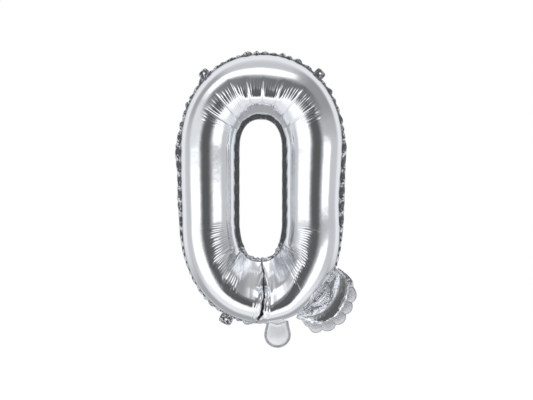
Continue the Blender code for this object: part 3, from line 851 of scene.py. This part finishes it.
carried(hole_edge(weld), "silver_weld", "inner_margin")

# Tail films: the two films of the lobe at the lower right, blown up through a narrow passage in
# the weld between it and the ring. The passage gathers the film into ribbed, lens-shaped puckers.
TAIL_CENTRE = (67.2, -268.3)
TAIL_RADIUS = 32.0
TAIL_TIP_EXTRA = 8.8
TAIL_HEEL_EXTRA = 2.7
TAIL_TIP_ANGLE = 57.0
TAIL_HEEL_ANGLE = -137.0
TAIL_DEPTH = 11.5
TAIL_WIDTH = 30
SEAM_STEP = 0.2
TAIL_TIP_TURN = 298.0
TAIL_HEEL_TURN = 335.5
TAIL_STEPS = 260
TAIL_ROWS = 90

# How high the film stands on its way from the ring's seam (0) to the tail's outer seam (1)
TAIL_PROFILE = (
    (0.0, 0.0), (0.03, 0.26), (0.12, 0.36), (0.30, 0.46), (0.53, 0.93), (0.70, 1.0), (0.84, 1.0),
    (0.92, 0.96), (0.965, 0.84), (0.99, 0.55), (1.0, 0.0),
)


def tail_seam(angles):
    """Points of the tail's outer seam at angles round the lobe's centre, counted from +X."""
    radius = TAIL_RADIUS + TAIL_TIP_EXTRA * smooth((angles + 30) / 75)
    radius = radius + TAIL_HEEL_EXTRA * smooth((-123 - angles) / 15)
    turned = np.radians(angles)
    x = TAIL_CENTRE[0] + radius * np.cos(turned)
    z = TAIL_CENTRE[1] + radius * np.sin(turned)
    return np.stack((x, z), axis=1)


def tail_film(side, material):
    """Front or back film of the tail."""
    points, _, length, _ = seam_run(TAIL_TIP_TURN, TAIL_HEEL_TURN, SEAM_STEP)
    share = (1 - np.cos(np.linspace(0, math.pi, TAIL_STEPS))) / 2
    at = share * length[-1]
    roots = np.stack([np.interp(at, length, points[:, k]) for k in (0, 1)], axis=1)
    edges = tail_seam(TAIL_TIP_ANGLE + (TAIL_HEEL_ANGLE - TAIL_TIP_ANGLE) * share)
    row = (1 - np.cos(np.linspace(0, math.pi, TAIL_ROWS))) / 2
    way = row[None, :, None]
    flat = roots[:, None, :] * (1 - way) + edges[:, None, :] * way
    swell = np.sqrt(np.sin(math.pi * share).clip(0))
    profile = np.interp(row, *zip(*TAIL_PROFILE))
    profile[2:-2] = np.convolve(profile, np.ones(5) / 5, mode="valid")
    level = FILM_RIM + TAIL_DEPTH * swell[:, None] * profile
    grid = np.stack((flat[..., 0], side * level, flat[..., 1]), axis=2)
    u = at[:, None] + 0 * row
    v = way[..., 0] * TAIL_WIDTH + 0 * u
    ends = (1 - window(share, 0.12, 0.88, 0.15))[:, None] + 0 * way[..., 0]
    heights = 0.7 * ends * cells(u / 3.0, v / 3.0, 63) + 0.10 * crumples(u / 5.0, v / 5.0, 65)
    heights = heights + 0.9 * smooth((way[..., 0] - 0.86) / 0.06) * cells(u / 2.6, v / 1.6, 67)
    edge = np.minimum(1, np.minimum(way[..., 0] / 0.06, (1 - way[..., 0]) / 0.02))
    grid = raised(grid, heights * edge * np.minimum(1, swell * 3)[:, None], (0, side, 0))
    grid[:, :, 1] = side * np.maximum(side * grid[:, :, 1], FILM_RIM)
    name = "tail_front_sheet" if side < 0 else "tail_back_sheet"
    return laid_film(name, grid, (0, side, 0), material)


# Puckers over the weld: turn of the middle, half length, reach into the ring and into the tail,
# number of ribs, their height, depth of the slit
PUCKERS = (
    (316.0, 18.0, 8.5, 11.0, 6, 1.25, 3.8),
    (302.0, 9.5, 6.0, 4.5, 4, 1.0, 2.8),
    (329.5, 10.0, 3.5, 7.0, 4, 1.2, 1.6),
)
PUCKER_ROWS = (170, 96)
PUCKER_LIFT = 1.6
PUCKER_BORDER = 1.5
PUCKER_SURROUND = 34
RIB_GROOVE = 0.5
RIB_NOTCHES = 2.1
SLIT_AT = 0.46
SLIT_WIDTH = 0.8
LIP_AT = 0.58
LIP_WIDTH = 1.3


def film_levels(sheets, root, way, reaches):
    """How far the films stand off the seam plane, on a coarse net of places along a seam."""
    places = (root[:, None, :] + way[:, None, :] * reaches[None, :, None]).reshape(-1, 2)
    level = np.zeros(len(places))
    for sheet in sheets:
        flat = np.empty(len(sheet.data.vertices) * 3)
        sheet.data.vertices.foreach_get("co", flat)
        film = flat.reshape(-1, 3) / MM
        aside = np.abs(film[:, [0, 2]] - places.mean(axis=0)).max(axis=1)
        near = film[aside < PUCKER_SURROUND]
        gap = np.linalg.norm(near[None, :, [0, 2]] - places[:, None, :], axis=2)
        level = np.maximum(level, np.abs(near[np.argmin(gap, axis=1), 1]))
    return level.reshape(len(root), len(reaches))


def pucker(side, sheets, material, turn, half, into_ring, into_tail, ribs, height, slit):
    """A lens of gathered film that bridges the ring and the tail over the passage."""
    points, out, length, turns = seam_run(turn - 25, min(turn + 25, 350), SEAM_STEP)
    start = np.interp(turn, turns, length) - half
    along = np.linspace(0, 1, PUCKER_ROWS[0])
    at = start + 2 * half * along
    root = np.stack([np.interp(at, length, points[:, k]) for k in (0, 1)], axis=1)
    way = np.stack([np.interp(at, length, out[:, k]) for k in (0, 1)], axis=1)
    lens = np.maximum(1 - (2 * along - 1) ** 2, 0.004) ** 0.8
    share = np.linspace(0, 1, PUCKER_ROWS[1])
    reach = (-into_ring + (into_ring + into_tail) * share[None, :]) * lens[:, None]
    steps = np.linspace(-into_ring - 0.5, into_tail + 0.5, 26)
    coarse = film_levels(sheets, root[::5], way[::5], steps)
    fine = np.stack([np.interp(along, along[::5], column) for column in coarse.T], axis=1)
    film = np.stack([np.interp(row, steps, levels) for row, levels in zip(reach, fine)])
    level = np.maximum(film, film[:, -1:] + (film[:, :1] - film[:, -1:]) * (1 - share) ** 2.3)
    width = (into_ring + into_tail) * lens[:, None]
    border = np.minimum(share, 1 - share) * width
    run = (at - at[0])[:, None]
    phase = ribs * share + 0.22 * crumples(run / 5, share * 5, ribs + 20)
    rib = 1 - np.exp(-np.abs(phase - np.rint(phase)) * width / ribs / RIB_GROOVE)
    notch = np.abs(np.sin(math.pi * (run / RIB_NOTCHES + 0.37 * np.floor(phase))))
    relief = PUCKER_LIFT + height * rib + 0.35 * height * notch
    cut = window(along, 0.2, 0.8, 0.14)[:, None]
    relief = relief - slit * cut * np.exp(-(((share - SLIT_AT) * width / SLIT_WIDTH) ** 2))
    relief = relief + 0.45 * slit * cut * np.exp(-(((share - LIP_AT) * width / LIP_WIDTH) ** 2))
    groove = PUCKER_BORDER * np.exp(-((border - 1.1) / 0.6) ** 2)
    level = level + np.minimum(1, border / 0.6) * relief - groove * np.minimum(1, lens[:, None] * 2) - 0.2
    flat = root[:, None, :] + way[:, None, :] * reach[..., None]
    grid = np.stack((flat[..., 0], side * np.maximum(level, FILM_RIM), flat[..., 1]), axis=2)
    return laid_film("pucker", grid, (0, side, 0), material)


for face, film_name in ((-1, "front"), (1, "back")):
    ring_sheet = bpy.data.objects["ring_%s_sheet" % film_name]
    tail_sheet = tail_film(face, silver)
    lenses = [pucker(face, (ring_sheet, tail_sheet), silver, *row) for row in PUCKERS]
    carried(joined([tail_sheet] + lenses), "silver_film", "tail_%s_film" % film_name)

# Tail weld: the narrow weld of the two films between the ring and the tail. It lies under the rims
# of both, at the bottom of the valley between them.
TAIL_WELD_WIDTH = 1.6
TAIL_WELD_STEP = 1.0
TAIL_WELD_ROWS = 5


def tail_seam_strip(material):
    """The weld under the rims of both films."""
    run = seam_run(MARGIN_END_TURN, TAIL_HEEL_TURN, TAIL_WELD_STEP)
    widths = np.full(len(run[2]), TAIL_WELD_WIDTH)
    return puckered_strip("tail_seam_strip", run, widths, TAIL_WELD_ROWS, 0.0, 0.1, 71, material)


carried(tail_seam_strip(weld), "silver_weld", "tail_weld")

# Tail margin: the welded edge of the tail. The round lobe draws its weld in so much that the edge
# stands off in rounded petals, puffed like small cushions, and dies out towards the neck.
PETAL_ANGLE = 25.2
PETAL_PHASE = 18.3
PETAL_BASE = 7.4
PETAL_HEIGHT = 3.8
HEEL_MARGIN = 1.6
PETAL_PUFF = 2.2
PETAL_RIM = 0.88
PETAL_STEPS = 460
PETAL_ROWS = 13


def petal_edge(cushion_film, rim_film):
    """The margin of the tail, front and back alike: cushions with a crumpled rim round each, and the darker
    weld of the rim laid far in between the cushions as painted shade of the creases there.
    """
    angles = np.linspace(TAIL_TIP_ANGLE - 1.5, TAIL_HEEL_ANGLE, PETAL_STEPS)
    at = tail_seam(angles)
    way = np.gradient(at, axis=0)
    way /= np.linalg.norm(way, axis=1)[:, None]
    out = np.stack((-way[:, 1], way[:, 0]), axis=1)
    out *= np.sign(np.sum(out * (at - np.array(TAIL_CENTRE)), axis=1))[:, None]
    length = lengths_along(at)
    lobes = np.abs(np.sin(math.pi * (angles - PETAL_PHASE) / PETAL_ANGLE))
    calm = smooth((TAIL_TIP_ANGLE - angles) / 60) * smooth((angles + 130) / 35)
    widths = HEEL_MARGIN + (PETAL_BASE + PETAL_HEIGHT * lobes ** 0.7 - HEEL_MARGIN) * calm
    # The outer rim is the crumpled weld; where the cushions meet, the dark weld reaches far inward as a
    # strip of painted shade in the crease between them.
    rim_and_crease_shade_from = PETAL_RIM - 0.6 * np.exp(-(lobes[:, None] / 0.16) ** 2)
    rim_and_crease_shade_from = rim_and_crease_shade_from * (1 - 0.92 * smooth((angles[:, None] - 14) / 18))
    halves = []
    for side in (-1, 1):
        for start, end, film in ((0.0, rim_and_crease_shade_from, cushion_film), (rim_and_crease_shade_from, 1.0, rim_film)):
            share = start + (end - start) * np.linspace(0, 1, PETAL_ROWS)[None, :]
            reach = -UNDER_RIM + (widths[:, None] + UNDER_RIM) * share
            flat = at[:, None, :] + out[:, None, :] * reach[..., None]
            cushion = 0.25 + 0.75 * lobes[:, None] ** 0.5
            puff = (4 * share * (1 - share)) ** 0.6 * cushion * calm[:, None] * PETAL_PUFF
            rough = cells(length[:, None] / 2.4, reach / 2.0, 81) * 0.5 * (1.5 - calm[:, None])
            rough = rough * np.clip(4 * share * (1 - share), 0, 1)
            grid = np.stack((flat[..., 0], side * (puff + rough), flat[..., 1]), axis=2)
            halves.append(laid_film("petal_edge", grid, (0, side, 0), film))
    margin = joined(halves)
    weld_doubles(margin, 0.004)
    return margin


puffed = foil("silver_puffed", (0.84, 0.85, 0.87), 0.66, 0.6, 0.3)
carried(petal_edge(puffed, weld), "silver_weld", "tail_margin")

# Filling neck: a slack tab of the same two films below the letter, where the straw goes in. Its
# edge is welded too, and a fold crosses it where the ring's tension ends.
NECK_X = 18.6
NECK_ROOT_HALF_WIDTH = 13.2
NECK_HALF_WIDTH = 16.0
NECK_WIDEST = -314.1
NECK_BOTTOM = -329.5
NECK_MARGIN = 3.6
NECK_SEAL = 2.9
NECK_DEPTH = 3.0
NECK_LEAN = 0.13
NECK_UPRIGHT = -308.0
NECK_STEPS = 120
NECK_ROWS = 72
NECK_FOLD_HEIGHT = 1.2
NECK_FOLD_WIDTH = 1.1


def neck_half_width(height):
    """Half the width of the neck tab at a height."""
    root = seam_point(turn_at(NECK_X) % 360)[1]
    flank = smooth((root - height) / (root - NECK_WIDEST))
    widening = NECK_ROOT_HALF_WIDTH + (NECK_HALF_WIDTH - NECK_ROOT_HALF_WIDTH) * flank
    round_end = np.clip((height - NECK_WIDEST) / (NECK_BOTTOM - NECK_WIDEST), 0, 1)
    return widening * np.sqrt(1 - round_end ** 2)


def neck_sheet(side, material):
    """Front or back film of the neck."""
    share = np.linspace(0, 1, NECK_STEPS)[:, None]
    angle = np.linspace(0, math.pi, NECK_ROWS)[None, :]
    root = seam_point(turn_at(NECK_X) % 360)[1] + 1.0
    ends = NECK_BOTTOM + NECK_SEAL
    level = root + (ends - root) * np.sin(share * math.pi / 2)
    past = np.clip((NECK_WIDEST - level) / (NECK_WIDEST - ends), 0, 1)
    inside = neck_half_width(np.maximum(level, NECK_WIDEST)) - NECK_SEAL
    half = np.maximum(inside * np.sqrt(1 - past ** 2), 0.02)
    x = NECK_X - half * np.cos(angle)
    flank = np.sin(angle) ** 0.8
    end = np.sqrt(1 - np.clip((level - NECK_WIDEST) / (ends - NECK_WIDEST), 0, 1) ** 2)
    start = 0.55 + 0.45 * smooth(share / 0.5)
    fold_x = (x - NECK_X) / NECK_ROOT_HALF_WIDTH
    fold = level - (root - 3.2 + 3.6 * np.abs(fold_x) - 3.0)
    puff = NECK_DEPTH * flank * end * start
    puff = puff + NECK_FOLD_HEIGHT * np.exp(-(fold / NECK_FOLD_WIDTH) ** 2) * flank
    y = side * (FILM_RIM + puff) + NECK_LEAN * (NECK_UPRIGHT - level)
    grid = np.stack((x, y, level + 0 * x), axis=2)
    name = "neck_front_sheet" if side < 0 else "neck_back_sheet"
    return laid_film(name, grid, (0, side, 0), material)


satin = foil("neck_film", (0.95, 0.955, 0.965), 0.62, 0.6, 0.1)
carried(neck_sheet(-1, satin), "neck_film", "neck_front_film")
carried(neck_sheet(1, satin), "neck_film", "neck_back_film")


def neck_edge(material):
    """The welded edge of the neck, down one side, round the end and up the other."""
    root = seam_point(turn_at(NECK_X) % 360)[1]
    flank = np.linspace(root, NECK_WIDEST, 60)[:-1]
    turned = np.linspace(0, math.pi, 160)
    left = np.stack((-neck_half_width(flank), flank), axis=1)
    right = left[::-1] * (-1, 1)
    drop = NECK_WIDEST + (NECK_BOTTOM - NECK_WIDEST) * np.sin(turned)
    bottom = np.stack((-NECK_HALF_WIDTH * np.cos(turned), drop), axis=1)
    line = np.concatenate((left, bottom, right)) + (NECK_X, 0)
    way = np.gradient(line, axis=0)
    way /= np.linalg.norm(way, axis=1)[:, None]
    inward = np.stack((-way[:, 1], way[:, 0]), axis=1)
    share = np.linspace(0, 1, 7)[None, :, None]
    flat = line[:, None, :] + inward[:, None, :] * NECK_MARGIN * share
    length = lengths_along(line)[:, None]
    y = 0.12 * crumples(length / 5, share[..., 0] * 2, 91) + NECK_LEAN * (NECK_UPRIGHT - flat[..., 1])
    grid = np.stack((flat[..., 0], y, flat[..., 1]), axis=2)
    return thickened(laid_film("neck_edge", grid, (0, -1, 0), material), WELD_THICKNESS)


seal = foil("silver_seal", (0.60, 0.615, 0.64), 0.38, 0.6, 0.4)
carried(neck_edge(seal), "silver_weld", "neck_margin")

# Hanging tabs: three small ears of welded film with a punched hole, by which the letter is hung.
# They are flat in the new balloon and crumple as it is folded and handled.

# Each tab: name, turn, height, half width, how much it is crumpled, seed of its crumples
TABS = (
    ("upper_left", 138.9, 8.6, 6.4, 0.55, 101),
    ("upper_right", 221.1, 8.6, 6.4, 0.55, 103),
    ("lower_left", 23.0, 11.0, 8.0, 0.75, 107),
)
TAB_FOOT = 1.2
TAB_HOLE_RADIUS = 1.2
TAB_SQUARENESS = 3.4
TAB_TUCK = 3.2


def tab_ear(name, turn, height, half_width, crush, seed, material):
    """A crumpled ear with its hole."""
    foot = seam_point(turn)
    step = seam_point(turn + 0.5) - seam_point(turn - 0.5)
    way = step / np.linalg.norm(step)
    out = np.array((-way[1], way[0]))
    centre = foot + out * (TAB_FOOT + 0.3 + height / 2)
    angle = np.linspace(0, 2 * math.pi, 97)[:, None]
    share = np.linspace(0, 1, 14)[None, :]
    across, up = np.cos(angle), np.sin(angle)
    stretch = (np.abs(across) ** TAB_SQUARENESS + np.abs(up) ** TAB_SQUARENESS) ** (-1 / TAB_SQUARENESS)
    below = np.where(up < 0, TAB_TUCK, 0.0)
    side = (TAB_HOLE_RADIUS * (1 - share) + stretch * half_width * share) * across
    rise = TAB_HOLE_RADIUS * up * (1 - share) + stretch * (height / 2 + below) * up * share
    flat = centre + way * side[..., None] + out * rise[..., None]
    dented = 0.6 * crumples(side / 3.0 + 7, rise / 3.0, seed)
    dented = dented + 1.1 * cells(side / 2.8, rise / 2.8, seed) - 0.5
    y = crush * dented * (0.3 + 0.7 * share)
    grid = np.stack((flat[..., 0], y, flat[..., 1]), axis=2)
    ear = laid_film("tab_ear_" + name, grid, (0, -1, 0), material)
    weld_doubles(ear, 0.01)
    return thickened(ear, WELD_THICKNESS)


for tab_name, *tab_sizes in TABS:
    carried(tab_ear(tab_name, *tab_sizes, weld), "silver_weld", "hang_tab_" + tab_name)
